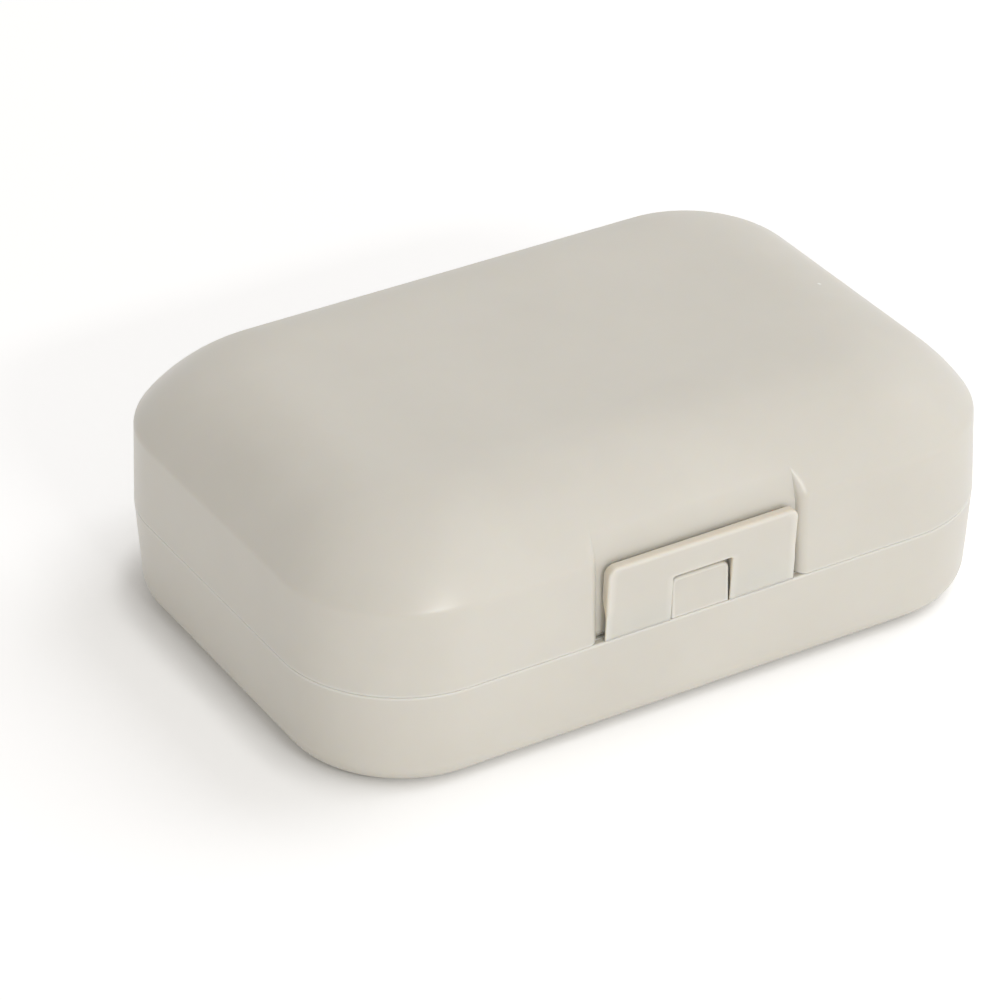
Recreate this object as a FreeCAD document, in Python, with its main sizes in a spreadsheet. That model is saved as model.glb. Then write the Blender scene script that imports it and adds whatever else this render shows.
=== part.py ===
"""Travel soap box: two moulded shells hinged at the back, a front clasp and a lift-out drain tray.

Millimetres. The origin is at the middle of the base's underside, +Z is up, +X runs along the
length, and the clasp is at the front, on the -Y side.
"""

import FreeCAD
import Part
import Sketcher
import math
import os
import re

V = FreeCAD.Vector

# Driving dimensions, in millimetres and degrees.
SIZES = {
    # Whole box.
    "box_length": 110.0,
    "box_width": 76.4,
    "box_height": 38.6,
    "rim_height": 15.4,
    "corner_radius": 18.5,
    "wall": 2.0,
    "rim_round": 0.25,
    # Base.
    "floor_thickness": 2.0,
    "base_taper": 0.9,
    "base_round": 4.0,
    "cavity_round": 2.0,
    # Lid.
    "lid_wall_rise": 12.6,
    "lid_draft": 0.4,
    "shoulder_run": 17.0,
    "shoulder_start": 36.0,
    "corner_follow": 0.5,
    # Lap joint between the shells.
    "lap_height": 2.4,
    "lap_wall": 0.95,
    "lap_gap": 0.15,
    # Clasp recess and catch lug on the lid.
    "recess_width": 32.8,
    "recess_depth": 1.75,
    "recess_back": 1.8,
    "catch_width": 9.3,
    "catch_height": 6.4,
    "recess_sill": 0.3,
    "catch_round": 1.1,
    "catch_edge": 0.35,
    # Clasp.
    "clasp_width": 30.4,
    "clasp_height": 11.9,
    "clasp_thickness": 1.5,
    "clasp_lean": 1.0,
    "clasp_corner": 1.5,
    "clasp_edge": 0.35,
    "root_thickness": 0.4,
    "root_height": 3.7,
    "root_blend": 2.8,
    "catch_gap": 0.8,
    "notch_gap": 0.15,
    "bridge_edge": 0.65,
    # Back hinges.
    "hinge_from_end": 27.0,
    "knuckle_radius": 2.2,
    "hinge_gap": 0.3,
    "lid_knuckle": 8.0,
    "base_knuckle": 6.0,
    "knuckle_gap": 0.2,
    "knuckle_bite": 0.6,
    "pin_diameter": 1.6,
    "pin_clearance": 0.05,
    "pin_seat": 0.01,
    "pin_chamfer": 0.2,
    # Drain tray.
    "tray_gap": 2.2,
    "tray_corner": 22.0,
    "tray_thickness": 1.6,
    "tray_stand": 3.0,
    "tray_edge": 0.4,
    "foot_diameter": 5.0,
    "foot_inset": 14.0,
    "grip_width": 42.0,
    "grip_depth": 2.0,
    "slot_width": 3.0,
    "slot_length": 14.0,
    "slot_pitch_x": 11.0,
    "slot_pitch_y": 19.0,
    "slot_columns": 7.0,
    "slot_rows": 3.0,
}

# Named places, each a formula of the driving dimensions.
PLACES = {
    "half_width": "(box_width / 2)",
    "crease_height": "(rim_height + lid_wall_rise)",
    "hinge_x": "(box_length / 2 - hinge_from_end)",
    "hinge_y": "(box_width / 2 + knuckle_radius + hinge_gap)",
    "recess_floor": "(box_width / 2 - recess_depth)",
    "backing_width": "(recess_width + 2 * recess_back)",
    "notch_width": "(catch_width + 2 * notch_gap)",
    "notch_top": "(rim_height + catch_height + catch_gap)",
    "clasp_top": "(rim_height + clasp_height)",
    "station_length": "(lid_knuckle + 2 * knuckle_gap + 2 * base_knuckle)",
    "tray_inset": "(wall + base_taper + tray_gap)",
    "tray_bottom": "(floor_thickness + tray_stand)",
}

SHOULDER_STEPS = 4
STEP_ROOM = 5.0
NEAR = 1e-4
WORD = re.compile(r"[a-z_]+[a-z]")

doc = FreeCAD.newDocument("soap_box")
sheet = doc.addObject("Spreadsheet::Sheet", "dims")
for row, (alias, number) in enumerate(SIZES.items(), start=1):
    sheet.set(f"A{row}", alias)
    sheet.set(f"B{row}", str(number))
    sheet.setAlias(f"B{row}", alias)
doc.recompute()


def formula(text):
    """Spell out the named places and point each size at its cell."""
    for _ in range(2):
        text = WORD.sub(lambda word: PLACES.get(word.group(), word.group()), text)
    return WORD.sub(lambda word: "dims." + word.group() if word.group() in SIZES else word.group(), text)


def bind(target, **paths):
    """Tie properties of an object to formulas; a double underscore stands for a dot in the path."""
    for path, text in paths.items():
        target.setExpression(path.replace("__", "."), formula(text))


def size(alias):
    """One driving dimension as a number."""
    return float(sheet.get(alias))


def add(kind, name, **paths):
    """A document object with its sizes bound to formulas."""
    target = doc.addObject(kind, name)
    bind(target, **paths)
    return target


def origin_plane(body, role):
    """One of a body's own origin planes."""
    return next(plane for plane in body.Origin.OriginFeatures if plane.Role == role)


def body_sketch(body, name, role, offset="0"):
    """An empty sketch on one of a body's origin planes, moved along its normal."""
    sketch = body.newObject("Sketcher::SketchObject", name)
    sketch.AttachmentSupport = [(origin_plane(body, role), "")]
    sketch.MapMode = "FlatFace"
    bind(sketch, AttachmentOffset__Base__z=offset)
    return sketch


def name_constraint(sketch, constraint, name, text):
    """Add a constraint to a sketch and tie its value to a formula."""
    index = sketch.addConstraint(constraint)
    sketch.renameConstraint(index, name)
    sketch.setExpression("Constraints." + name, formula(text))


def draw_rounded(sketch, half_length, half_width, radius):
    """A rectangle about the sketch's origin with round corners: four lines and four tangent arcs."""
    a, b, r = size("box_length") / 2, size("box_width") / 2, size("corner_radius") / 2
    corners = ((a - r, r - b), (a - r, b - r), (r - a, b - r), (r - a, r - b))
    edge_starts = ((r - a, -b), (a, r - b), (a - r, b), (-a, b - r))
    edge_ends = ((a - r, -b), (a, b - r), (r - a, b), (-a, r - b))
    for turn, (corner, start, end) in enumerate(zip(corners, edge_starts, edge_ends)):
        first = (turn - 1) * math.pi / 2
        circle = Part.Circle(V(*corner), V(0, 0, 1), r)
        sketch.addGeometry(Part.LineSegment(V(*start), V(*end)))
        sketch.addGeometry(Part.ArcOfCircle(circle, first, first + math.pi / 2))
    for piece in range(8):
        sketch.addConstraint(Sketcher.Constraint("Tangent", piece, 2, (piece + 1) % 8, 1))
    for line, way in ((0, "Horizontal"), (2, "Vertical"), (4, "Horizontal"), (6, "Vertical")):
        sketch.addConstraint(Sketcher.Constraint(way, line))
    for arc in (3, 5, 7):
        sketch.addConstraint(Sketcher.Constraint("Equal", 1, arc))
    name_constraint(sketch, Sketcher.Constraint("Radius", 1, r), "radius", radius)
    name_constraint(sketch, Sketcher.Constraint("DistanceX", -1, 1, 2, 1, a), "right", half_length)
    name_constraint(sketch, Sketcher.Constraint("DistanceX", 6, 1, -1, 1, a), "left", half_length)
    name_constraint(sketch, Sketcher.Constraint("DistanceY", -1, 1, 4, 1, b), "back", half_width)
    name_constraint(sketch, Sketcher.Constraint("DistanceY", 0, 1, -1, 1, b), "front", half_width)


def draw_polygon(sketch, corners):
    """A closed outline of straight lines through corners given as pairs of formulas."""
    values = [tuple(evaluate(text) for text in corner) for corner in corners]
    count = len(corners)
    first = sketch.GeometryCount
    for i, value in enumerate(values):
        sketch.addGeometry(Part.LineSegment(V(*value), V(*values[(i + 1) % count])))
    for i in range(count):
        sketch.addConstraint(Sketcher.Constraint("Coincident", first + i, 2, first + (i + 1) % count, 1))
    for i, (value, corner) in enumerate(zip(values, corners), start=first):
        across = Sketcher.Constraint("DistanceX", -1, 1, i, 1, value[0])
        along = Sketcher.Constraint("DistanceY", -1, 1, i, 1, value[1])
        name_constraint(sketch, across, f"across{i}", corner[0])
        name_constraint(sketch, along, f"along{i}", corner[1])


def draw_circle(sketch, across, along, radius):
    """A circle placed by formulas."""
    x, y, r = evaluate(across), evaluate(along), evaluate(radius)
    index = sketch.addGeometry(Part.Circle(V(x, y), V(0, 0, 1), r))
    name_constraint(sketch, Sketcher.Constraint("Radius", index, r), f"radius{index}", radius)
    name_constraint(sketch, Sketcher.Constraint("DistanceX", -1, 1, index, 3, x), f"across{index}", across)
    name_constraint(sketch, Sketcher.Constraint("DistanceY", -1, 1, index, 3, y), f"along{index}", along)


def evaluate(text):
    """The number that a formula gives with the sheet's present values."""
    result = sheet.evalExpression(formula(text))
    return float(getattr(result, "Value", result))


def outline(name, inset, radius, height):
    """The box's outline drawn in by an inset, at a height."""
    sketch = doc.addObject("Sketcher::SketchObject", name)
    draw_rounded(sketch, f"box_length / 2 - ({inset})", f"half_width - ({inset})", radius)
    bind(sketch, Placement__Base__z=height)
    return sketch


def loft(name, sections, ruled):
    """A closed solid through outlines, straight between them or smooth."""
    solid = doc.addObject("Part::Loft", name)
    solid.Sections = sections
    solid.Solid = True
    solid.Ruled = ruled
    return solid


def prism(name, sketch, height):
    """An outline raised to a height."""
    solid = doc.addObject("Part::Extrusion", name)
    solid.Base = sketch
    solid.DirMode = "Custom"
    solid.Dir = V(0, 0, 1)
    solid.Solid = True
    bind(solid, LengthFwd=height)
    return solid


def block(name, x, y, z, length, width, height):
    """A box from its lowest corner and its three sides."""
    return add(
        "Part::Box", name, Length=length, Width=width, Height=height,
        Placement__Base__x=x, Placement__Base__y=y, Placement__Base__z=z,
    )


def cut(name, base, tool):
    """One solid with another taken away."""
    result = doc.addObject("Part::Cut", name)
    result.Base = base
    result.Tool = tool
    return result


def fuse(name, solids):
    """Several solids joined."""
    result = doc.addObject("Part::MultiFuse", name)
    result.Shapes = solids
    return result


def round_edges(name, base, chosen):
    """Round the edges that lie at given heights; chosen maps a height to a radius."""
    doc.recompute()
    edges = []
    for index, edge in enumerate(base.Shape.Edges, start=1):
        box = edge.BoundBox
        for height, radius in chosen.items():
            if abs(box.ZMin - height) < NEAR and abs(box.ZMax - height) < NEAR:
                edges.append((index, radius, radius))
    result = doc.addObject("Part::Fillet", name)
    result.Base = base
    result.Edges = edges
    return result


def barrel(name, x, length, radius):
    """A cylinder along the hinge axis, from x onwards."""
    cylinder = add(
        "Part::Cylinder", name, Radius=radius, Height=length,
        Placement__Base__x=x, Placement__Base__y="hinge_y", Placement__Base__z="rim_height",
    )
    cylinder.Placement.Rotation = FreeCAD.Rotation(V(0, 1, 0), 90)
    return cylinder


def knuckle(name, x, length, leaf_bottom):
    """A hinge knuckle: a barrel on the axis and a leaf that joins it to its shell's back wall."""
    leaf = block(
        name + "_leaf", x, "half_width - knuckle_bite", leaf_bottom,
        length, "knuckle_bite + knuckle_radius + hinge_gap", "knuckle_radius",
    )
    return [barrel(name + "_barrel", x, length, "knuckle_radius"), leaf]


def station_start(side):
    """Where a hinge station begins along the length."""
    return f"{side} * hinge_x - station_length / 2"


def shoulder_inset(turn):
    """How far the shoulder has drawn in at a turn of its ellipse."""
    return (
        f"lid_draft + shoulder_run * (1 - cos(({turn}) * 1 deg) / cos(shoulder_start * 1 deg))"
    )


def shoulder_height(turn):
    """How high the shoulder stands at a turn of its ellipse."""
    start = "sin(shoulder_start * 1 deg)"
    rise = f"(box_height - crease_height) * (sin(({turn}) * 1 deg) - {start}) / (1 - {start})"
    return f"crease_height + {rise}"


def shoulder_turn(step):
    """The ellipse's turn at a step of the shoulder, from its start up to the flat top."""
    return f"shoulder_start + (90 - shoulder_start) * {step} / {SHOULDER_STEPS - 1}"


def lid_skin(name, thickness):
    """The lid's solid body, drawn in by a thickness square to its surface."""
    wall_radius = f"corner_radius - {thickness}"
    rim = outline(name + "_rim", thickness, wall_radius, "rim_height")
    rings = []
    for step in range(SHOULDER_STEPS):
        turn = shoulder_turn(step)
        outer = shoulder_inset(turn)
        inset = f"{outer} + {thickness} * cos(({turn}) * 1 deg)"
        radius = f"corner_radius - corner_follow * ({outer}) - {thickness} * cos(({turn}) * 1 deg)"
        height = f"{shoulder_height(turn)} - {thickness} * sin(({turn}) * 1 deg)"
        rings.append(outline(f"{name}_ring{step}", inset, radius, height))
    return loft(name + "_wall", [rim, rings[0]], True), loft(name + "_shoulder", rings, False)


def lid_shell():
    """Upper shell: upright wall, domed shoulder, clasp recess with its catch lug, two knuckles."""
    wall, shoulder = lid_skin("lid_outside", "0")
    wall = round_edges("lid_wall_rounded", wall, {size("rim_height"): size("rim_round")})
    inner_wall, inner_shoulder = lid_skin("lid_inside", "wall")
    lap = outline("lid_lap", "lap_wall", "corner_radius - lap_wall", "rim_height")
    lap_room = prism("lid_lap_room", lap, "lap_height + lap_gap")
    hollow = fuse("lid_hollow", [inner_wall, inner_shoulder, lap_room])
    backing = block(
        "lid_backing", "-backing_width / 2", "-half_width", "rim_height + recess_sill",
        "backing_width", "recess_depth + recess_back", "box_height - rim_height",
    )
    room = cut("lid_room", hollow, backing)
    recess = block(
        "lid_recess", "-recess_width / 2", f"-half_width - {STEP_ROOM}", f"rim_height - {STEP_ROOM}",
        "recess_width", f"recess_depth + {STEP_ROOM}", f"box_height - rim_height + {STEP_ROOM}",
    )
    knuckles = []
    bores = []
    for side, hand in ((-1, "left"), (1, "right")):
        start = f"{station_start(side)} + base_knuckle + knuckle_gap"
        knuckles += knuckle("lid_knuckle_" + hand, start, "lid_knuckle", "rim_height")
        bores.append(barrel("lid_bore_" + hand, start, "lid_knuckle", "pin_diameter / 2 + pin_clearance"))
    hollowed = cut("lid_hollowed", fuse("lid_outside", [wall, shoulder]), room)
    recessed = cut("lid_recessed", hollowed, recess)
    joined = fuse("lid_joined", [recessed, catch_lug()] + knuckles)
    return cut("lid_shell", joined, fuse("lid_bores", bores))


def catch_lug():
    """The lug in the clasp recess, flush with the lid's wall, with round top corners and edges."""
    body = doc.addObject("PartDesign::Body", "catch_lug")
    side = body_sketch(body, "catch_side", "YZ_Plane")
    lean = "lid_draft * catch_height / lid_wall_rise"
    draw_polygon(side, (
        ("-half_width", "rim_height"),
        (f"-half_width + {lean}", "rim_height + catch_height"),
        ("-recess_floor + recess_back / 2", "rim_height + catch_height"),
        ("-recess_floor + recess_back / 2", "rim_height"),
    ))
    pad(body, "catch_block", side, "catch_width", symmetric=True)
    corners = top_corners("rim_height + catch_height", "catch_width")
    dress(body, "Fillet", "catch_corners", "catch_round", corners)
    front = front_edges("-lid_draft / lid_wall_rise", "0")
    dress(body, "Fillet", "catch_front_edge", "catch_edge", front)
    return body


def top_corners(top, width):
    """A test that picks a plate's two top corner edges, which run from its front to its back."""
    height, half = evaluate(top), evaluate(width) / 2

    def test(box):
        on_side = box.XLength < NEAR and abs(abs(box.XMin) - half) < NEAR
        return on_side and box.ZMin > height - NEAR

    return test


def front_edges(lean, inner_half):
    """A test that picks a leaning front's outer edges, without its foot and whatever lies further in."""
    rate, inner = evaluate(lean), evaluate(inner_half)
    rim, front = size("rim_height"), -evaluate("half_width")

    def test(box):
        ends = sorted(front - rate * (height - rim) for height in (box.ZMin, box.ZMax))
        in_front = abs(box.YMin - ends[0]) < NEAR and abs(box.YMax - ends[1]) < NEAR
        return in_front and box.ZMax > rim + NEAR and max(-box.XMin, box.XMax) > inner + NEAR

    return test


def base_shell():
    """Lower shell: tapered wall with a round foot, a lap lip inside its rim and four knuckles."""
    foot = outline("base_foot", "base_taper", "corner_radius - base_taper", "0")
    rim = outline("base_rim", "0", "corner_radius", "rim_height")
    outside = loft("base_outside", [foot, rim], True)
    rounds = {0.0: size("base_round"), size("rim_height"): size("rim_round")}
    rounded = round_edges("base_outside_rounded", outside, rounds)
    inset = "wall + base_taper"
    floor = outline("cavity_floor", inset, f"corner_radius - ({inset})", "floor_thickness")
    mouth = outline("cavity_mouth", "wall", "corner_radius - wall", "rim_height")
    cavity = loft("base_cavity", [floor, mouth], True)
    cavity = round_edges("base_cavity_rounded", cavity, {size("floor_thickness"): size("cavity_round")})
    leaf_bottom = "rim_height - knuckle_radius"
    knuckles = []
    bores = []
    for side, hand in ((-1, "left"), (1, "right")):
        start = station_start(side)
        ends = (start, f"{start} + base_knuckle + 2 * knuckle_gap + lid_knuckle")
        for end, place in zip(("outer", "inner"), ends):
            knuckles += knuckle(f"base_knuckle_{hand}_{end}", place, "base_knuckle", leaf_bottom)
        bores.append(barrel("base_bore_" + hand, start, "station_length", "pin_diameter / 2 + pin_seat"))
    hollowed = cut("base_hollowed", rounded, cavity)
    joined = fuse("base_joined", [hollowed, lap_lip()] + knuckles)
    return cut("base_shell", joined, fuse("base_bores", bores))


def lap_lip():
    """The thin lip inside the base's rim that the lid laps over, left out behind the clasp recess."""
    sink = "rim_height - lap_height"
    outer = outline("lip_outer", "lap_wall + lap_gap", "corner_radius - lap_wall - lap_gap", sink)
    inner = outline("lip_inner", "wall", "corner_radius - wall", sink)
    full = prism("lip_full", outer, "2 * lap_height")
    ring = cut("lip_ring", full, prism("lip_bore", inner, "2 * lap_height"))
    gap = block(
        "lip_gap", "-backing_width / 2 - lap_gap", "-half_width", "rim_height",
        "backing_width + 2 * lap_gap", "recess_depth + recess_back + lap_gap", "2 * lap_height",
    )
    return cut("lap_lip", ring, gap)


def pad(body, name, sketch, length, symmetric=False, back=False):
    """Raise a sketch of a body."""
    feature = body.newObject("PartDesign::Pad", name)
    feature.Profile = sketch
    feature.SideType = "Symmetric" if symmetric else "One side"
    feature.Reversed = back
    bind(feature, Length=length)
    return feature


def pocket(body, name, sketch, length, symmetric=False, back=False):
    """Cut a sketch into a body."""
    feature = body.newObject("PartDesign::Pocket", name)
    feature.Profile = sketch
    feature.SideType = "Symmetric" if symmetric else "One side"
    feature.Reversed = back
    bind(feature, Length=length)
    return feature


def dress(body, kind, name, radius, wanted):
    """Round or chamfer the edges of a body's last feature that a test picks by their bounding box."""
    doc.recompute()
    base = body.Tip
    names = [f"Edge{i}" for i, edge in enumerate(base.Shape.Edges, start=1) if wanted(edge.BoundBox)]
    feature = body.newObject("PartDesign::" + kind, name)
    feature.Base = (base, names)
    bind(feature, **{"Radius" if kind == "Fillet" else "Size": radius})
    return feature


def clasp():
    """Front clasp: a leaning plate with a thin root at the rim and a notch over the catch lug."""
    body = doc.addObject("PartDesign::Body", "clasp")
    side = body_sketch(body, "clasp_side", "YZ_Plane")
    lean = "clasp_lean * (root_height + root_blend) / clasp_height"
    root_lean = "clasp_lean * root_height / clasp_height"
    draw_polygon(side, (
        ("-half_width", "rim_height"),
        ("-half_width - clasp_lean", "clasp_top"),
        ("-half_width - clasp_lean + clasp_thickness", "clasp_top"),
        (f"-half_width - {lean} + clasp_thickness", "rim_height + root_height + root_blend"),
        (f"-half_width - {root_lean} + root_thickness", "rim_height + root_height"),
        ("-half_width + root_thickness", "rim_height"),
    ))
    pad(body, "clasp_plate", side, "clasp_width", symmetric=True)
    dress(body, "Fillet", "clasp_corners", "clasp_corner", top_corners("clasp_top", "clasp_width"))
    front = body_sketch(body, "notch_outline", "XZ_Plane")
    draw_polygon(front, (
        ("-notch_width / 2", "rim_height - root_height"),
        ("notch_width / 2", "rim_height - root_height"),
        ("notch_width / 2", "notch_top"),
        ("-notch_width / 2", "notch_top"),
    ))
    pocket(body, "notch", front, "2 * box_width", symmetric=True)
    ramp = body_sketch(body, "relief_side", "YZ_Plane")
    lean_at_notch = "clasp_lean * (notch_top - rim_height) / clasp_height"
    draw_polygon(ramp, (
        (f"-half_width - {lean_at_notch} + bridge_edge", "notch_top"),
        ("-half_width - clasp_lean + clasp_thickness", "clasp_top"),
        ("-half_width + clasp_thickness", "clasp_top"),
        ("-half_width + clasp_thickness", "notch_top"),
    ))
    pocket(body, "bridge_relief", ramp, "notch_width", symmetric=True)
    edges = front_edges("clasp_lean / clasp_height", "notch_width / 2")
    dress(body, "Fillet", "clasp_front_edge", "clasp_edge", edges)
    return body


def hinge_pin(hand, side):
    """One hinge pin, chamfered at both ends."""
    body = doc.addObject("PartDesign::Body", "hinge_pin_" + hand)
    ring = body_sketch(body, f"pin_{hand}_ring", "YZ_Plane", f"{side} * hinge_x")
    draw_circle(ring, "hinge_y", "rim_height", "pin_diameter / 2")
    pad(body, f"pin_{hand}_rod", ring, "station_length", symmetric=True)
    dress(body, "Chamfer", f"pin_{hand}_ends", "pin_chamfer", lambda box: box.XLength < NEAR)
    return body


def drain_tray():
    """Lift-out tray: a plate on four feet, slotted for drainage, with a grip at the front and back."""
    body = doc.addObject("PartDesign::Body", "drain_tray")
    plan = body_sketch(body, "tray_plan", "XY_Plane", "tray_bottom")
    draw_rounded(plan, "box_length / 2 - tray_inset", "half_width - tray_inset", "tray_corner")
    pad(body, "tray_plate", plan, "tray_thickness")
    feet = body_sketch(body, "tray_feet_plan", "XY_Plane", "tray_bottom")
    for x_side in (-1, 1):
        for y_side in (-1, 1):
            draw_circle(
                feet, f"{x_side} * (box_length / 2 - foot_inset)",
                f"{y_side} * (half_width - foot_inset)", "foot_diameter / 2",
            )
    pad(body, "tray_feet", feet, "tray_stand", back=True)
    for y_side, end in ((-1, "front"), (1, "back")):
        grip = body_sketch(body, f"grip_{end}_plan", "XY_Plane", "tray_bottom")
        edge = f"{y_side} * (half_width - tray_inset)"
        draw_polygon(grip, (
            ("-grip_width / 2", f"{edge} + {y_side} * grip_depth"),
            ("grip_width / 2", f"{edge} + {y_side} * grip_depth"),
            ("grip_width / 2 - grip_depth", f"{edge} - {y_side} * grip_depth"),
            ("-grip_width / 2 + grip_depth", f"{edge} - {y_side} * grip_depth"),
        ))
        pocket(body, f"grip_{end}", grip, "tray_thickness", back=True)
    top = evaluate("tray_bottom + tray_thickness")
    dress(body, "Fillet", "tray_rim", "tray_edge", lambda box: box.ZMin > top - NEAR)
    column = body_sketch(body, "slot_plan", "XY_Plane", "tray_bottom")
    across = "-slot_pitch_x * (slot_columns - 1) / 2"
    for row in range(round(size("slot_rows"))):
        along = f"slot_pitch_y * ({row} - (slot_rows - 1) / 2)"
        draw_polygon(column, (
            (f"{across} - slot_width / 2", f"{along} - slot_length / 2"),
            (f"{across} + slot_width / 2", f"{along} - slot_length / 2"),
            (f"{across} + slot_width / 2", f"{along} + slot_length / 2"),
            (f"{across} - slot_width / 2", f"{along} + slot_length / 2"),
        ))
    first_column = pocket(body, "slot_column", column, "tray_thickness", back=True)
    doc.recompute()
    grid = body.newObject("PartDesign::LinearPattern", "slots")
    grid.Originals = [first_column]
    grid.Direction = (column, ["H_Axis"])
    grid.Mode = "Spacing"
    bind(grid, Offset="slot_pitch_x", Occurrences="slot_columns")
    body.Tip = grid
    return body


def check(nodes):
    """Stop if any object failed or a node's shape is empty or broken."""
    for item in doc.Objects:
        if {"Invalid", "Error"} & set(item.State):
            raise RuntimeError(f"{item.Name} failed: {item.State}")
    for node in nodes:
        if node.Shape.isNull() or not node.Shape.isValid() or not node.Shape.Solids:
            raise RuntimeError(f"{node.Label} has no valid solid")


def main():
    """Build every node, check it and write its file."""
    nodes = [
        base_shell(), lid_shell(), clasp(),
        hinge_pin("left", -1), hinge_pin("right", 1), drain_tray(),
    ]
    doc.recompute()
    check(nodes)
    os.makedirs("parts", exist_ok=True)
    for node in nodes:
        node.Shape.exportStep(f"parts/{node.Label}.step")
        box = node.Shape.BoundBox
        print(
            f"{node.Label}: {len(node.Shape.Solids)} solid, {node.Shape.Volume:.1f} mm3, "
            f"x {box.XMin:.2f} to {box.XMax:.2f}, y {box.YMin:.2f} to {box.YMax:.2f}, "
            f"z {box.ZMin:.2f} to {box.ZMax:.2f}"
        )


main()
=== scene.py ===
"""Looks of a travel soap box: two satin moulded shells, a front clasp, two back hinges and a drain tray.

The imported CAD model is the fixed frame. The shells, the clasp, the catch lug and the hinge knuckles are
surfaces worked out with numpy in the CAD model's own place, in millimetres, and put into meshes in metres.
"""

import logging
import math
from dataclasses import dataclass, field
from enum import Enum

import bpy
import numpy as np
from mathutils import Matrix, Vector


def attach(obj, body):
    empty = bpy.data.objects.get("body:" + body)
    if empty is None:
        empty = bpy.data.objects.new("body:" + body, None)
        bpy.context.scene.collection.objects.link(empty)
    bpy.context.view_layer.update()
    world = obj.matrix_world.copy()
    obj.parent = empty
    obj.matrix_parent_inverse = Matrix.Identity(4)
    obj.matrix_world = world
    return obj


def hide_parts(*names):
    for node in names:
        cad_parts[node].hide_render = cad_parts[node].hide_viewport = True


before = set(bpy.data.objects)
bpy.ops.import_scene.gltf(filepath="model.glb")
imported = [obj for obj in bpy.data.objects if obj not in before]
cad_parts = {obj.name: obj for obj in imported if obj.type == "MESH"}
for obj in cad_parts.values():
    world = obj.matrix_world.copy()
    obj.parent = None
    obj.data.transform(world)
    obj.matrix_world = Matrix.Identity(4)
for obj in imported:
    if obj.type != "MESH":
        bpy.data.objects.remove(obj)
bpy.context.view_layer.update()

Array = np.ndarray
MM = 0.001
NEAR = 1e-9
QUARTER = math.pi / 2
log = logging.getLogger("soap_box")


class Ends(Enum):
    """How a grid closes along its rows."""

    POLES = "each end row closes on a point"
    JOINED = "the last row joins the first"


class Body(Enum):
    """The CAD bodies that pieces ride on."""

    BASE = "base"
    LID = "lid"
    CLASP = "front_clasp"


class Slot(Enum):
    """The record's material slots."""

    SHELL = "shell"
    PIN = "pin"
    TRAY = "tray"


class Mark(Enum):
    """Values from 0 to 1 that the meshes carry for the materials."""

    # edge: rubbed edges, which the material paints paler, partly a painted highlight
    EDGE = "edge"
    # thin: the clasp's sides, which the material paints tan, a painted glow of light through the plastic and
    # painted shade in the gaps
    THIN = "thin"
    CROWN = "crown"


class Hand(Enum):
    """The two back hinges, with the side of the middle plane that each is on."""

    LEFT = -1
    RIGHT = 1


def smooth_step(value: Array, low: float, high: float) -> Array:
    """Rise from 0 to 1 between two values: t * t * (3 - 2 t), with t the clamped share of the way.

    Args:
        value: Where to take the step.
        low: Value at which the rise starts.
        high: Value at which it ends.

    Returns:
        The step's height at each value.
    """
    t = np.clip((value - low) / (high - low), 0.0, 1.0)
    return t * t * (3.0 - 2.0 * t)


def soft_positive(value: Array, softness: float) -> Array:
    """The larger of a value and 0 with the corner rounded off: (v + sqrt(v^2 + s^2)) / 2.

    Args:
        value: Values to cut off below 0.
        softness: Width of the rounded corner.

    Returns:
        The softly cut values.
    """
    return 0.5 * (value + np.sqrt(value * value + softness * softness))


def bend(start: Array, corner: Array, end: Array, steps: int) -> Array:
    """A rounded corner: the quadratic curve (1-t)^2 P + 2t(1-t) C + t^2 E.

    Args:
        start: First point.
        corner: The sharp corner that is rounded off.
        end: Last point.
        steps: Number of points.

    Returns:
        Points along the curve, one per row.
    """
    t = np.linspace(0.0, 1.0, steps)[:, None]
    return (1 - t) ** 2 * start + 2 * t * (1 - t) * corner + t**2 * end


def with_poles(values: Array) -> Array:
    """A grid's values in one row, with the mean of each end row after them."""
    flat = values.reshape(-1, *values.shape[2:])
    return np.concatenate([flat, values[:1].mean(axis=1), values[-1:].mean(axis=1)])


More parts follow.
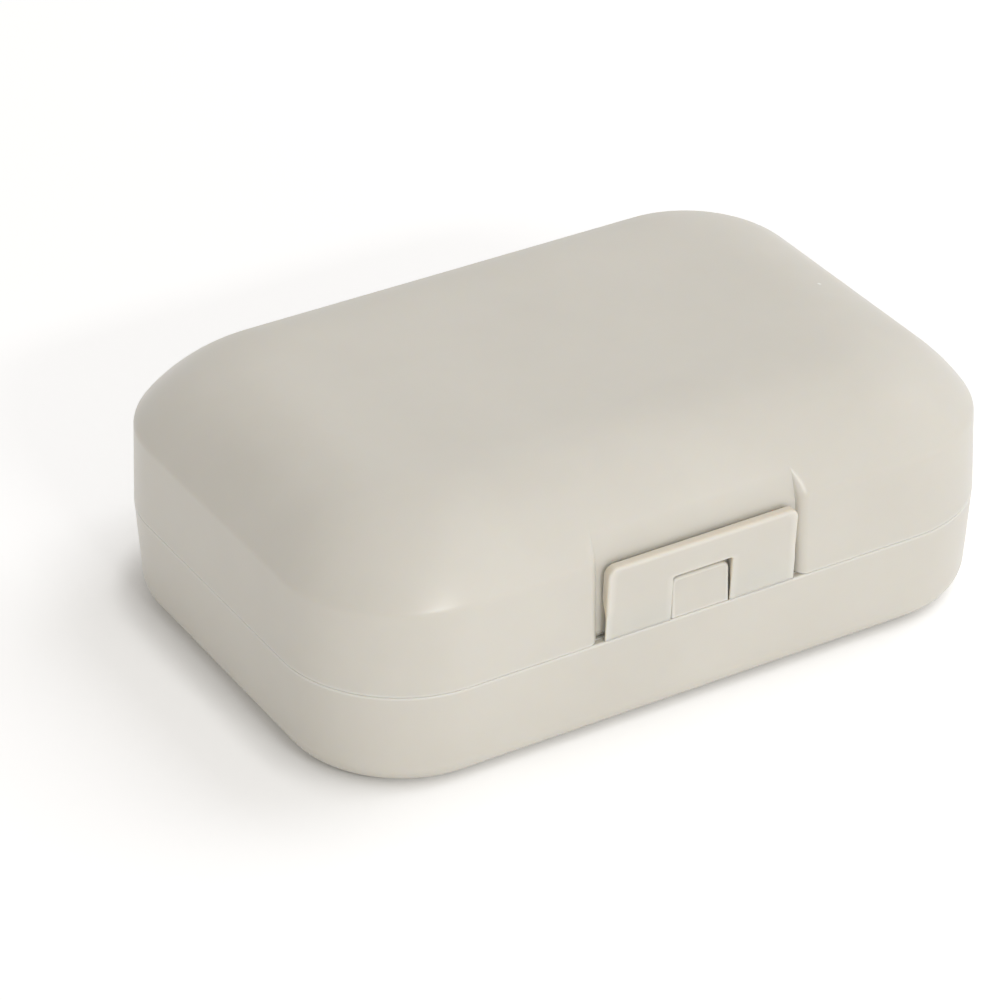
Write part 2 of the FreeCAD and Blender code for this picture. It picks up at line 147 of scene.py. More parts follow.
def grid_piece(name: str, grid: Array, ends: Ends, marks: dict[Mark, Array]) -> bpy.types.Object:
    """Make a closed mesh of quads from a grid whose columns run round and whose rows close as asked.

    Quads join neighbours of the grid. With poles, the mean of each end row is one more point, and triangles
    join it to its row. The sum of each triangle's volume to the origin shows whether the faces point
    outwards, and if it is negative every face is turned over.

    Args:
        name: Name of the object and its mesh.
        grid: Points in millimetres, shaped rows, columns, 3.
        ends: How the rows close.
        marks: Values for the material, each one per row or shaped rows, columns.

    Returns:
        The new object, at the origin.
    """
    rows, columns, _ = grid.shape
    index = np.arange(rows * columns).reshape(rows, columns)
    if ends is Ends.JOINED:
        index = np.concatenate([index, index[:1]])
    beside = np.roll(index, -1, axis=1)
    quads = np.stack([index[:-1], beside[:-1], beside[1:], index[1:]], axis=-1).reshape(-1, 4)
    points = grid.reshape(-1, 3)
    triangles = np.empty((0, 3), int)
    if ends is Ends.POLES:
        first = rows * columns
        points = with_poles(grid)
        start = np.stack([np.full(columns, first), beside[0], index[0]], axis=-1)
        finish = np.stack([np.full(columns, first + 1), index[-1], beside[-1]], axis=-1)
        triangles = np.concatenate([start, finish])
    halves = np.concatenate([quads[:, [0, 1, 2]], quads[:, [0, 2, 3]], triangles])
    corner = points[halves]
    volume = np.einsum("ij,ij->i", corner[:, 0], np.cross(corner[:, 1], corner[:, 2])).sum()
    turn = -1 if volume < 0 else 1
    mesh = bpy.data.meshes.new(name)
    faces = quads[:, ::turn].tolist() + triangles[:, ::turn].tolist()
    mesh.from_pydata((points * MM).tolist(), [], faces)
    mesh.validate()
    mesh.shade_smooth()
    for mark, values in marks.items():
        values = np.broadcast_to(values[:, None] if values.ndim == 1 else values, (rows, columns))
        carried = with_poles(values) if ends is Ends.POLES else values.reshape(-1)
        attribute = mesh.attributes.new(mark.value, "FLOAT", "POINT")
        attribute.data.foreach_set("value", carried.astype(np.float32))
    piece = bpy.data.objects.new(name, mesh)
    bpy.context.scene.collection.objects.link(piece)
    return piece


def settle(piece: bpy.types.Object, body: Body, material: bpy.types.Material) -> None:
    """Give a piece its material, its body and its material slot, and report it.

    Args:
        piece: The finished piece.
        body: CAD body that it rides on.
        material: What it is made of.
    """
    piece.data.materials.append(material)
    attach(piece, body.value)
    log.info("%s rides on %s with %d faces", piece.name, body.value, len(piece.data.polygons))


@dataclass(frozen=True)
class BoxSizes:
    """Sizes that the two shells share, in millimetres.

    The last three place the rows of their grids: rows in the rim's round, how far a wall's rows stay from
    the rounds next to it, and how far the rows of a flat rim stay from its edges.
    """

    half_length: float = 55.0
    half_width: float = 38.2
    height: float = 38.6
    rim: float = 15.4
    corner: float = 18.5
    wall: float = 2.0
    rim_round: float = 0.25
    round_steps: int = 6
    step_off: float = 0.3
    hem: float = 0.12


@dataclass
class Plan:
    """The columns of a shell, as places on a rounded rectangle seen from above.

    A column stands at fixed + share * core along each axis, where core is the half side less the corner
    radius, and then one radius outwards along its normal. The columns of the front's middle keep a fixed x,
    so that the clasp recess has straight sides; all others slide with the outline.
    """

    box: BoxSizes
    middle: float = 20.0
    middle_stops: tuple[tuple[float, float, int], ...] = (
        (0.0, 15.2, 12), (15.2, 16.15, 5), (16.15, 16.55, 20), (16.55, 17.8, 16), (17.8, 18.6, 9),
        (18.6, 20.0, 3),
    )
    flank_steps: int = 8
    corner_steps: int = 26
    side_steps: int = 12
    back_steps: int = 25
    fixed_x: Array = field(init=False)
    share_x: Array = field(init=False)
    share_y: Array = field(init=False)
    normal_x: Array = field(init=False)
    normal_y: Array = field(init=False)

    def __post_init__(self) -> None:
        """Lay the columns out anticlockwise: front, then corner and side in turn."""
        half = np.concatenate(
            [np.linspace(low, high, count, endpoint=False) for low, high, count in self.middle_stops]
            + [[self.middle]]
        )
        middle = np.concatenate([-half[:0:-1], half])
        flank = np.arange(1, self.flank_steps) / self.flank_steps
        flanks = np.concatenate([-flank[::-1], np.zeros(len(middle)), flank])
        fixed = np.concatenate([-self.middle * (1 - flank[::-1]), middle, self.middle * (1 - flank)])
        side = np.linspace(-1, 1, self.side_steps + 2)[1:-1]
        back = np.linspace(1, -1, self.back_steps + 2)[1:-1]
        arc = np.linspace(0, QUARTER, self.corner_steps)
        columns = np.concatenate([
            self._edge(fixed, flanks, 0 * fixed - 1, 0, -1),
            self._corner(arc - QUARTER, 1, -1),
            self._edge(0 * side, 0 * side + 1, side, 1, 0),
            self._corner(arc, 1, 1),
            self._edge(0 * back, back, 0 * back + 1, 0, 1),
            self._corner(arc + QUARTER, -1, 1),
            self._edge(0 * side, 0 * side - 1, -side, -1, 0),
            self._corner(arc + 2 * QUARTER, -1, -1),
        ], axis=1)
        self.fixed_x, self.share_x, self.share_y, self.normal_x, self.normal_y = columns

    @staticmethod
    def _edge(fixed: Array, share_x: Array, share_y: Array, normal_x: float, normal_y: float) -> Array:
        """Columns along a straight edge, all with the same normal."""
        return np.stack([fixed, share_x, share_y, 0 * fixed + normal_x, 0 * fixed + normal_y])

    @staticmethod
    def _corner(angle: Array, side_x: float, side_y: float) -> Array:
        """Columns round a corner, each with its own normal."""
        return np.stack([0 * angle, 0 * angle + side_x, 0 * angle + side_y, np.cos(angle), np.sin(angle)])

    def grid(self, inset: Array, radius: Array, height: Array, scale: Array) -> Array:
        """Points of a stack of outlines.

        Args:
            inset: How far each outline is drawn in from the box's sides.
            radius: Each outline's corner radius.
            height: Each outline's height.
            scale: Each outline's share of its own size, for the rings that close a flat.

        Returns:
            Points shaped rows, columns, 3.
        """
        inset, radius, height, scale = (values[:, None] for values in (inset, radius, height, scale))
        core_x = self.box.half_length - inset - radius
        core_y = self.box.half_width - inset - radius
        x = self.fixed_x + self.share_x * core_x + radius * self.normal_x
        y = self.share_y * core_y + radius * self.normal_y
        return np.stack([x * scale, y * scale, height + 0 * x], axis=-1)

    def front(self) -> Array:
        """1 for the columns of the front, 0 for the others."""
        return (self.normal_y < -1 + NEAR).astype(float)


@dataclass
class Profile:
    """A shell's section, grown point by point from the outside to the inside.

    Each point is an inset from the box's side and a height, with the corner radius of its outline, the
    inset of the plain skin there, how far a flat is drawn to the middle, and marks for a rubbed edge that is
    also painted with a pale highlight, for the inner skin and for the rise with the sill.
    """

    corner: float
    runs: list[Array] = field(default_factory=list)

    def add(self, inset: Array, height: Array | float, radius: Array | None = None,
            skin: Array | float | None = None, scale: Array | float = 1.0, edge: float = 0.0,
            inner: float = 0.0, lift: float = 0.0) -> None:
        """Add a run of points.

        Args:
            inset: Insets of the points.
            height: Their heights.
            radius: Corner radii of their outlines, or else the box's corner less the inset.
            skin: Inset of the plain skin at each point, or else the point's own.
            scale: Share of the outline's size.
            edge: 1 on an edge that is handled and rubbed, which the material paints paler, partly as a
                painted highlight.
            inner: 1 on the inner skin.
            lift: 1 where the edge rises with the clasp recess's sill.
        """
        radius = self.corner - inset if radius is None else radius
        skin = inset if skin is None else skin
        blank = np.zeros(len(inset))
        values = (inset, height, radius, skin, scale, edge, inner, lift)
        self.runs.append(np.stack([blank + value for value in values]))

    def columns(self) -> Array:
        """All runs joined: inset, height, radius, skin, scale, edge, inner, lift."""
        return np.concatenate(self.runs, axis=1)


FLAT_SHARES = np.array([0.15, 0.4, 0.65, 0.85, 0.95, 0.99])


@dataclass
class LidShell:
    """The lid: upright wall, soft crease, domed shoulder, flat top, and the recess that holds the clasp."""

    box: BoxSizes
    plan: Plan
    crease: float = 28.0
    crease_reach: float = 0.5
    draft: float = 0.4
    run: float = 17.0
    start_turn: float = math.radians(36.0)
    follow: float = 0.5
    lap_wall: float = 0.95
    lap_edge: tuple[float, float] = (0.04, 0.08)
    lap_heights: tuple[float, ...] = (16.2, 17.0, 17.75)
    lap_ceiling: tuple[tuple[float, float], ...] = (
        (1.0, 17.95), (1.3, 17.97), (1.7, 17.99), (1.96, 18.01))
    inner_wall: tuple[float, float, int] = (18.15, 26.4, 10)
    soft_reach: float = 3.5
    soft_from: float = 5.0
    soft_full: float = 12.0
    soft_samples: int = 15
    recess_half: float = 16.2
    recess_round: float = 1.5
    recess_power: float = 1.7
    recess_floor: float = 36.85
    floor_lean: float = 0.31
    lean_from: float = 27.0
    lean_softness: float = 1.0
    recess_softness: float = 0.35
    backing_edge: float = 0.33
    backing_half: float = 18.2
    backing_face: float = 34.65
    sill: float = 0.3
    crown_from: float = 33.0
    crown_full: float = 38.0
    fine_reach: float = 4.6
    dome_steps: int = 34
    fine_steps: int = 44
    crease_steps: int = 9
    wall_steps: int = 14
    inner_steps: int = 26

    def shoulder(self, turn: Array) -> tuple[Array, Array]:
        """The shoulder's ellipse: inset draft + run (1 - cos t / cos s), height rising with sin t.

        Args:
            turn: Turns t of the ellipse, from its start s up to a quarter turn.

        Returns:
            The inset and the height at each turn.
        """
        low = math.sin(self.start_turn)
        inset = self.draft + self.run * (1 - np.cos(turn) / math.cos(self.start_turn))
        height = self.crease + (self.box.height - self.crease) * (np.sin(turn) - low) / (1 - low)
        return inset, height

    def dome(self, inset: Array) -> Array:
        """The outer shoulder's height at an inset, running softly into the flat top.

        It is the ellipse's height averaged over a window of insets. The window is closed near the crease
        and opens to its full reach towards the top, so the flat begins with no break in the curve.

        Args:
            inset: Insets from the crease inwards.

        Returns:
            The height at each inset.
        """
        reach = self.soft_reach * smooth_step(inset, self.soft_from, self.soft_full)
        places = inset[:, None] + reach[:, None] * np.linspace(-1, 1, self.soft_samples)
        cosine = np.clip(1 - (places - self.draft) / self.run, 0, 1) * math.cos(self.start_turn)
        low = math.sin(self.start_turn)
        rise = (np.sqrt(1 - cosine * cosine) - low) / (1 - low)
        return self.crease + (self.box.height - self.crease) * rise.mean(axis=1)

    def outside(self, profile: Profile) -> None:
        """Add the outer skin, from the middle of the top down to the rim's inner edge.

        Args:
            profile: Section to add to.
        """
        box = self.box
        top_inset = self.draft + self.run + self.soft_reach
        flat = np.full(len(FLAT_SHARES), top_inset)
        profile.add(flat, box.height, box.corner - self.follow * flat, scale=FLAT_SHARES)
        fine = self.draft + self.fine_reach
        inset = np.concatenate([np.linspace(top_inset, fine, self.dome_steps, endpoint=False),
                                np.linspace(fine, self.draft, self.fine_steps)])
        height = self.dome(inset)
        above = height > self.crease + self.crease_reach
        profile.add(inset[above], height[above], box.corner - self.follow * inset[above])
        start = np.array([np.interp(self.crease + self.crease_reach, height[::-1], inset[::-1]),
                          self.crease + self.crease_reach])
        corner = np.array([self.draft, self.crease])
        wall_rise = self.crease - box.rim
        end = np.array([self.draft * (1 - self.crease_reach / wall_rise), self.crease - self.crease_reach])
        inset, height = bend(start, corner, end, self.crease_steps).T
        profile.add(inset, height, box.corner - self.follow * inset)
        height = np.linspace(end[1] - box.step_off, box.rim + 2 * box.rim_round, self.wall_steps)
        inset = self.draft * (height - box.rim) / wall_rise
        profile.add(inset, height, box.corner - self.follow * inset)
        turn = np.linspace(0, QUARTER, box.round_steps)
        inset = box.rim_round * (1 - np.cos(turn))
        # the rim's round is marked as a rubbed edge; the material paints it paler, partly a painted highlight
        # along the parting line
        profile.add(inset, box.rim + box.rim_round * (1 - np.sin(turn)), skin=0.0, edge=1.0, lift=1.0)
        inset = np.array([box.rim_round + box.hem, self.lap_wall - box.hem])
        profile.add(inset, box.rim, skin=0.0, lift=1.0)

    def inside(self, profile: Profile) -> None:
        """Add the inner skin, from the lap room up to the middle of the top.

        Args:
            profile: Section to add to.
        """
        box = self.box
        chamfer, rise = self.lap_edge
        inset = np.array([self.lap_wall - chamfer, self.lap_wall])
        profile.add(inset, box.rim + np.array([0.0, rise]), inner=1.0, lift=1.0)
        height = np.array(self.lap_heights)
        profile.add(0 * height + self.lap_wall, height, inner=1.0)
        inset, height = np.array(self.lap_ceiling).T
        profile.add(inset, height, inner=1.0)
        height = np.linspace(*self.inner_wall)
        profile.add(0 * height + box.wall, height, inner=1.0)
        turns = np.linspace(self.start_turn, QUARTER, self.inner_steps)
        outer, height = self.shoulder(turns)
        inset = outer + box.wall * np.cos(turns)
        radius = box.corner - self.follow * outer - box.wall * np.cos(turns)
        profile.add(inset, height - box.wall * np.sin(turns), radius, inner=1.0)
        flat = np.full(len(FLAT_SHARES), inset[-1])
        profile.add(flat, box.height - box.wall, radius[-1], scale=FLAT_SHARES[::-1], inner=1.0)

    def build(self) -> bpy.types.Object:
        """Work out the shell and sink the clasp recess into it.

        The front's middle columns move back by the soft positive part of the skin's distance in front of
        the recess floor. Across the recess's side edge the share of that falls from 1 to 0 along a quarter
        of a squarish ellipse, 1 - (1 - (1 - t)^p)^(1/p), which rounds the edge over its whole depth. The
        floor leans back towards its run-out on the shoulder. The inner skin moves back to the flat backing
        in the same way, and the rim rises by the sill. The crown mark rises from 0 to 1 up the shoulder.

        Returns:
            The lid's shell.
        """
        profile = Profile(self.box.corner)
        self.outside(profile)
        self.inside(profile)
        inset, height, radius, skin, scale, edge, inner, lift = profile.columns()
        grid = self.plan.grid(inset, radius, height, scale)
        across = np.abs(grid[..., 0])
        front = self.plan.front() * (scale[:, None] == 1.0)
        over = np.clip((across - self.recess_half) / self.recess_round, 0.0, 1.0)
        sunk = front * (1 - (1 - (1 - over) ** self.recess_power) ** (1 / self.recess_power))
        backed = front * (1 - smooth_step(across - self.backing_half, -self.backing_edge, self.backing_edge))
        lean = self.floor_lean * soft_positive(height - self.lean_from, self.lean_softness)
        floor = self.recess_floor - lean
        reach =soft_positive(self.box.half_width - skin - floor, self.recess_softness)
        cover = np.maximum(self.box.half_width - skin - self.backing_face, 0.0)
        outer = 1 - inner
        grid[..., 1] += (outer * reach)[:, None] * sunk + (inner * cover)[:, None] * backed
        raised = np.maximum(sunk, inner[:, None] * backed)
        grid[..., 2] += self.sill * lift[:, None] * raised
        crown = outer * smooth_step(height, self.crown_from, self.crown_full)
        return grid_piece("lid_skin", grid, Ends.POLES, {Mark.EDGE: edge, Mark.CROWN: crown})

    def dress(self, piece: bpy.types.Object, material: bpy.types.Material) -> None:
        """Put the shell on the lid in place of its CAD node."""
        settle(piece, Body.LID, material)
        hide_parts("lid_shell")


@dataclass
class BaseShell:
    """The base: flat foot with a round edge, flared wall, rim, lap lip and cavity."""

    box: BoxSizes
    plan: Plan
    taper: float = 0.9
    foot_round: float = 4.0
    cavity_round: float = 2.0
    floor: float = 2.0
    lip_inset: float = 1.1
    lip_top: float = 17.8
    lip_round: float = 0.2
    lip_bend: float = 0.5
    lip_foot: tuple[float, float] = (0.02, 0.06)
    lip_heights: tuple[float, float] = (16.2, 16.0)
    gap_half: float = 18.35
    gap_edge: float = 0.3
    gap_left: float = 0.03
    mouth_off: float = 0.1
    foot_steps: int = 16
    wall_steps: int = 10
    lip_steps: int = 9
    cavity_steps: int = 12
    inner_steps: int = 8

    def round_foot(self, inset: float, floor: float, radius: float, steps: int) -> tuple[Array, Array]:
        """A quarter round from a flat floor to the flared wall: a circle's arc that touches both.

        Args:
            inset: The wall line's inset at the rim.
            floor: Height of the floor.
            radius: The round's radius.
            steps: Number of points.

        Returns:
            Insets and heights, from the floor up.
        """
        lean = math.atan(self.taper / (self.box.rim - floor))
        centre = floor + radius
        rise = (self.box.rim - centre) / (self.box.rim - floor)
        middle = inset + self.taper * rise + radius / math.cos(lean)
        turn = np.linspace(-QUARTER, -lean, steps)
        return middle - radius * np.cos(turn), centre + radius * np.sin(turn)

    def build(self) -> bpy.types.Object:
        """Work out the shell from its underside round the rim and the lap lip to the cavity's floor.

        The lip's top is half a squarish ellipse: across by |cos t|^p with the cosine's sign, up by sin^p t.

        Returns:
            The base's shell.
        """
        box = self.box
        profile = Profile(box.corner)
        inset, height = self.round_foot(0.0, 0.0, self.foot_round, self.foot_steps)
        profile.add(np.full(len(FLAT_SHARES), inset[0]), 0.0, scale=FLAT_SHARES)
        profile.add(inset, height)
        height = np.linspace(height[-1] + box.step_off, box.rim - 2 * box.rim_round, self.wall_steps)
        profile.add(self.taper * (1 - height / box.rim), height)
        turn = np.linspace(0, QUARTER, box.round_steps)
        inset = box.rim_round * (1 - np.cos(turn))
        # the rim's round is marked as a rubbed edge; the material paints it paler, partly a painted highlight
        # along the parting line
        profile.add(inset, box.rim - box.rim_round * (1 - np.sin(turn)), edge=1.0)
        before, above = self.lip_foot
        inset = np.array([box.rim_round + box.hem, self.lip_inset - box.hem, self.lip_inset - before])
        profile.add(inset, box.rim)
        outer_height, inner_height = self.lip_heights
        shoulder = self.lip_top - 2 * self.lip_round
        height = np.array([box.rim + above, outer_height, shoulder])
        profile.add(0 * height + self.lip_inset, height, lift=1.0)
        turn = np.linspace(0, 2 * QUARTER, self.lip_steps)
        middle = (self.lip_inset + box.wall) / 2
        half = (box.wall - self.lip_inset) / 2
        inset = middle - half * np.sign(np.cos(turn)) * np.abs(np.cos(turn)) ** self.lip_bend
        profile.add(inset, self.lip_top - self.lip_round * (1 - np.sin(turn) ** self.lip_bend), lift=1.0)
        height = np.array([shoulder, inner_height])
        profile.add(0 * height + box.wall, height, lift=1.0)
        inset, height = self.round_foot(box.wall, self.floor, self.cavity_round, self.cavity_steps)
        wall_height = np.linspace(box.rim - self.mouth_off, height[-1] + box.step_off, self.inner_steps)
        profile.add(box.wall + self.taper * (box.rim - wall_height) / (box.rim - self.floor), wall_height)
        profile.add(inset[::-1], height[::-1])
        profile.add(np.full(len(FLAT_SHARES), inset[0]), self.floor, scale=FLAT_SHARES[::-1])
        inset, height, radius, _, scale, edge, _, lift = profile.columns()
        grid = self.plan.grid(inset, radius, height, scale)
        across = np.abs(grid[..., 0])
        closed = smooth_step(across - self.gap_half, -self.gap_edge, self.gap_edge)
        drop = (1 - self.gap_left) * lift[:, None] * self.plan.front() * (1 - closed)
        grid[..., 2] -= drop * (grid[..., 2] - box.rim)
        return grid_piece("base_skin", grid, Ends.POLES, {Mark.EDGE: edge})

    def dress(self, piece: bpy.types.Object, material: bpy.types.Material) -> None:
        """Put the shell on the base in place of its CAD node."""
        settle(piece, Body.BASE, material)
        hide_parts("base_shell")


@dataclass
class CatchLug:
    """The lug in the clasp recess: a block flush with the lid's wall, with round top corners and edges."""

    box: BoxSizes
    half: float = 4.65
    height: float = 6.4
    corner: float = 1.1
    foot_corner: float = 0.25
    least_corner: float = 0.02
    edge: float = 0.35
    lean: float = 0.4 / 12.6
    back: float = 35.6
    arc_steps: int = 9
    edge_steps: int = 7
    shrink: tuple[float, ...] = (0.2, 0.5, 0.8, 0.95)

    def outline(self, inset: Array) -> tuple[Array, Array]:
        """Rounded rectangles in the front's plane, drawn in by insets.

        Args:
            inset: How far each outline is drawn in.

        Returns:
            Across and up, each shaped outlines, points.
        """
        inset = inset[:, None]
        arc = np.linspace(0, QUARTER, self.arc_steps)
        low, high = self.box.rim + inset, self.box.rim + self.height - inset
        half = self.half - inset
        top = np.maximum(self.corner - inset, self.least_corner)
        foot = np.maximum(self.foot_corner - inset, self.least_corner)
        across = [half - foot + foot * np.sin(arc), half - top + top * np.cos(arc),
                  -half + top - top * np.sin(arc), -half + foot - foot * np.cos(arc)]
        up = [low + foot - foot * np.cos(arc), high - top + top * np.sin(arc),
              high - top + top * np.cos(arc), low + foot - foot * np.sin(arc)]
        return np.concatenate(across, axis=1), np.concatenate(up, axis=1)

    def build(self) -> bpy.types.Object:
        """Carry the outline from the middle of the front, over the rounded edge, to the back.

        Returns:
            The lug.
        """
        turn = np.linspace(0, QUARTER, self.edge_steps)
        shares = np.array(self.shrink)
        inset = np.concatenate([np.full(len(shares), self.edge), self.edge * (1 - np.sin(turn)), [0.0]])
        depth = np.concatenate([np.zeros(len(shares)), self.edge * (1 - np.cos(turn)),
                                [self.box.half_width - self.back]])
        scale = np.concatenate([shares, np.ones(len(turn) + 1)])[:, None]
        across, up = self.outline(inset)
        middle = self.box.rim + self.height / 2
        up = middle + (up - middle) * scale
        face = -self.box.half_width + self.lean * (up - self.box.rim)
        grid = np.stack([across * scale, face + depth[:, None], up], axis=-1)
        # the rounded edges are marked as rubbed; the material paints them paler, partly a painted highlight
        wear_and_sheen = np.concatenate([np.zeros(len(shares)), np.ones(len(turn)), [0.0]])
        return grid_piece("catch_lug", grid, Ends.POLES, {Mark.EDGE: wear_and_sheen})

    def dress(self, piece: bpy.types.Object, material: bpy.types.Material) -> None:
        """Put the lug on the lid."""
        settle(piece, Body.LID, material)


@dataclass
class FrontClasp:
    """The clasp: a leaning plate with round corners, thin at its root, with a notch over the catch lug."""

    box: BoxSizes
    half: float = 15.35
    height: float = 11.9
    lean: float = 0.85
    thickness: float = 1.5
    corner: float = 1.5
    notch_half: float = 4.8
    notch_height: float = 7.2
    notch_corner: float = 0.35
    root: float = 0.4
    root_height: float = 3.7
    root_blend: float = 2.8
    bridge_edge: float = 0.65
    relief_edge: float = 0.3
    front_round: float = 0.4
    notch_round: float = 0.25
    back_round: float = 0.2
    round_fit: float = 0.45
    least_slant: float = 0.5
    notch_wear_and_sheen: float = 0.6
    leg_steps: int = 14
    side_steps: int = 8
    arc_steps: int = 12
    top_steps: int = 10
    bridge_steps: int = 13
    round_steps: int = 7
    face_steps: int = 9

    def arch(self) -> tuple[Array, Array, Array]:
        """The plate's inner and outer outline, point for point, from one foot over the bridge to the other.

        The inner outline is the notch with small round corners. The outer one is the plate's side, its
        round corner and its top. Each pair of points is one rib across the plate.

        Returns:
            Inner points, outer points and the outer outline's normals, each shaped ribs, 2.
        """
        low, high = self.box.rim, self.box.rim + self.height
        notch = low + self.notch_height
        turn_in = notch - self.notch_corner
        leg = np.linspace(low, turn_in, self.leg_steps)
        side = np.linspace(turn_in, high - self.corner, self.side_steps + 1)[1:]
        arc = np.linspace(0, QUARTER, self.arc_steps + 1)[1:]
        across = self.half - self.corner
        reach = self.notch_half - self.notch_corner
        top = np.linspace(across, reach, self.top_steps + 1)[1:]
        bridge = np.linspace(reach, 0, self.bridge_steps)[1:]
        outer_x = np.concatenate([0 * leg + self.half, 0 * side + self.half,
                                  across + self.corner * np.cos(arc), top, bridge])
        outer_z = np.concatenate([leg, side, high - self.corner + self.corner * np.sin(arc),
                                  0 * top + high, 0 * bridge + high])
        normal_x = np.concatenate([0 * leg + 1, 0 * side + 1, np.cos(arc), 0 * top, 0 * bridge])
        normal_z = np.concatenate([0 * leg, 0 * side, np.sin(arc), 0 * top + 1, 0 * bridge + 1])
        fan = np.linspace(0, QUARTER, len(side) + len(arc) + len(top) + 1)[1:]
        inner_x = np.concatenate([0 * leg + self.notch_half, reach + self.notch_corner * np.cos(fan), bridge])
        inner_z = np.concatenate([leg, turn_in + self.notch_corner * np.sin(fan), 0 * bridge + notch])
        mirror = np.array([-1.0, 1.0])
        halves = []
        for x, z in ((inner_x, inner_z), (outer_x, outer_z), (normal_x, normal_z)):
            right = np.stack([x, z], axis=-1)
            halves.append(np.concatenate([right * mirror, right[-2::-1]]))
        return halves[0], halves[1], halves[2]

    def depth(self, across: Array, up: Array) -> Array:
        """The plate's thickness: thin at the root, full above it, and relieved behind the bridge.

        Args:
            across: Places along the length.
            up: Heights.

        Returns:
            Thickness at each place.
        """
        rise = (up - self.box.rim - self.root_height) / self.root_blend
        plain = self.root + (self.thickness - self.root) * np.clip(rise, 0, 1)
        share = np.clip((up - self.box.rim - self.notch_height) / (self.height - self.notch_height), 0, 1)
        bridge = self.bridge_edge + (self.thickness - self.bridge_edge) * share
        off = smooth_step(np.abs(across), self.notch_half, self.notch_half + self.relief_edge)
        return np.minimum(plain, bridge + (self.thickness - bridge) * off)

    def build(self) -> bpy.types.Object:
        """Carry a rounded strip section along the arch.

        Each rib's section runs from the notch's edge over the front to the outer edge and back behind the
        plate. Edges are quarter rounds: along the rib r (1 - sin t), into the plate r (1 - cos t), with r
        never more than a set share of the thickness, and widened where the rib meets the edge at a slant.
        The thin mark is 4 s (1 - s), with s the share of the way through the plate; on the plate's sides it
        carries a painted tan glow, for light through the plastic and shade in the gaps.

        Returns:
            The clasp.
        """
        inner, outer, normal = self.arch()
        rib = outer - inner
        length = np.linalg.norm(rib, axis=1)
        way = rib / length[:, None]
        slant = 1.0 / np.maximum(np.einsum("ij,ij->i", way, normal), self.least_slant)
        turn = np.linspace(0, QUARTER, self.round_steps)
        inward, sink = 1 - np.sin(turn), 1 - np.cos(turn)
        face = np.linspace(0, 1, self.face_steps + 2)[1:-1]
        outer_depth = self.depth(outer[:, 0], outer[:, 1])
        inner_depth = self.depth(inner[:, 0], inner[:, 1])
        fit_out, fit_in = self.round_fit * outer_depth, self.round_fit * inner_depth
        notch = np.minimum(self.notch_round, fit_in)
        front = np.minimum(self.front_round, fit_out)
        rear_out = np.minimum(self.back_round, fit_out)
        rear_in = np.minimum(self.back_round, fit_in)
        ribs = len(length)
        distance, share = [], []
        sections = (
            (notch, inner_depth, inward[::-1], sink[::-1], False, False),
            (None, None, face, None, False, False),
            (front, outer_depth, inward, sink, True, False),
            (rear_out, outer_depth, inward[::-1], sink[::-1], True, True),
            (None, None, face[::-1], None, False, True),
            (rear_in, inner_depth, inward, sink, False, True),
        )
        for radius, thick, steps, depths, at_outer, behind in sections:
            if radius is None:
                begin = rear_in if behind else notch
                stop = slant * (rear_out if behind else front)
                distance.append(begin[:, None] + np.outer(length - begin - stop, steps))
                share.append(np.full((ribs, len(steps)), 1.0 if behind else 0.0))
                continue
            stretch = slant if at_outer else np.ones(ribs)
            along = np.outer(radius * stretch, steps)
            distance.append(length[:, None] - along if at_outer else along)
            into = np.outer(radius / thick, depths)
            share.append(1 - into if behind else into)
        distance = np.concatenate(distance, axis=1)
        share = np.concatenate(share, axis=1)
        place = inner[:, None] + way[:, None] * distance[..., None]
        across, up = place[..., 0], place[..., 1]
        face_y = -self.box.half_width - self.lean * (up - self.box.rim) / self.height
        grid = np.stack([across, face_y + share * self.depth(across, up), up], axis=-1)
        # the notch's and the front's rounded edges are marked as rubbed; the material paints them paler,
        # partly a painted highlight
        wear_and_sheen = np.zeros(share.shape)
        count = self.round_steps
        wear_and_sheen[:, :count] = self.notch_wear_and_sheen
        wear_and_sheen[:, count + self.face_steps: 2 * count + self.face_steps] = 1.0
        # painted glow: highest halfway through the plate, on its sides, where the material paints a tan
        # colour for light through the plastic and shade in the gaps
        thin = 4 * share * (1 - share)
        return grid_piece("clasp_plate", grid, Ends.POLES, {Mark.EDGE: wear_and_sheen, Mark.THIN: thin})

    def dress(self, piece: bpy.types.Object, material: bpy.types.Material) -> None:
        """Put the clasp on its body in place of its CAD node."""
        settle(piece, Body.CLASP, material)
        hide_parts("clasp")


